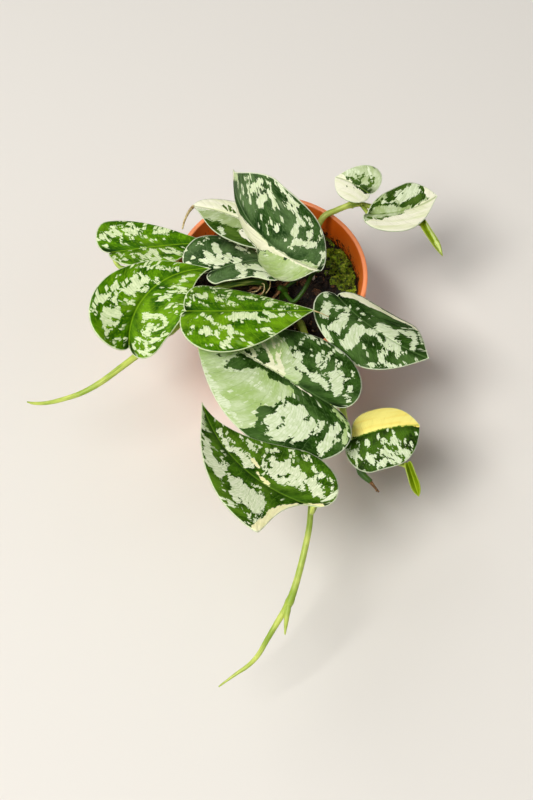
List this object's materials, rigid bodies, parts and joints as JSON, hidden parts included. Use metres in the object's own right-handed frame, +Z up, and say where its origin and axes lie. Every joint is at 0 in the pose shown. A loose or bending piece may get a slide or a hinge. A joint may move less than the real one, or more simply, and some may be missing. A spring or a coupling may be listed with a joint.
{
  "type": "potted satin pothos",
  "caption": "Young variegated satin pothos with silver-splashed heart-shaped leaves and long bare shoots, in a tapered plastic nursery pot filled with potting mix.",
  "frame": {"origin": "centre of the underside of the pot's base, where the pot stands", "axes": "+Z up out of the pot's mouth, -Y towards the long front shoot, +X towards the yellow leaf's side"},
  "size_m": [0.2522, 0.3102, 0.1752],
  "materials": {
    "pot_plastic": "satin terracotta-coloured plastic",
    "potting_mix": "dark, moist and crumbly",
    "stem_green": "smooth, pale yellow-green",
    "leaf_deep": "satin, blue-green with silver splashes",
    "leaf_bright": "satin, bright green with silver splashes",
    "leaf_pale": "satin, cream and mint with green",
    "leaf_yellow": "satin, one half pale yellow"
  },
  "bodies": {
    "root": {"pot": "pot_plastic", "soil": "potting_mix", "vine_left": "stem_green", "vine_centre": "stem_green", "vine_front": "stem_green", "vine_right": "stem_green", "vine_back": "stem_green", "leaf_top": "leaf_deep", "leaf_back": "leaf_pale", "leaf_middle": "leaf_deep", "leaf_left": "leaf_bright", "leaf_upper_left": "leaf_bright", "leaf_centre": "leaf_bright", "leaf_big": "leaf_deep", "leaf_front": "leaf_bright", "leaf_right": "leaf_deep", "leaf_yellow": "leaf_yellow", "leaf_small": "leaf_bright", "leaf_back_right": "leaf_pale", "leaf_rolled": "leaf_bright", "sheath": "stem_green"}
  },
  "joints": []
}
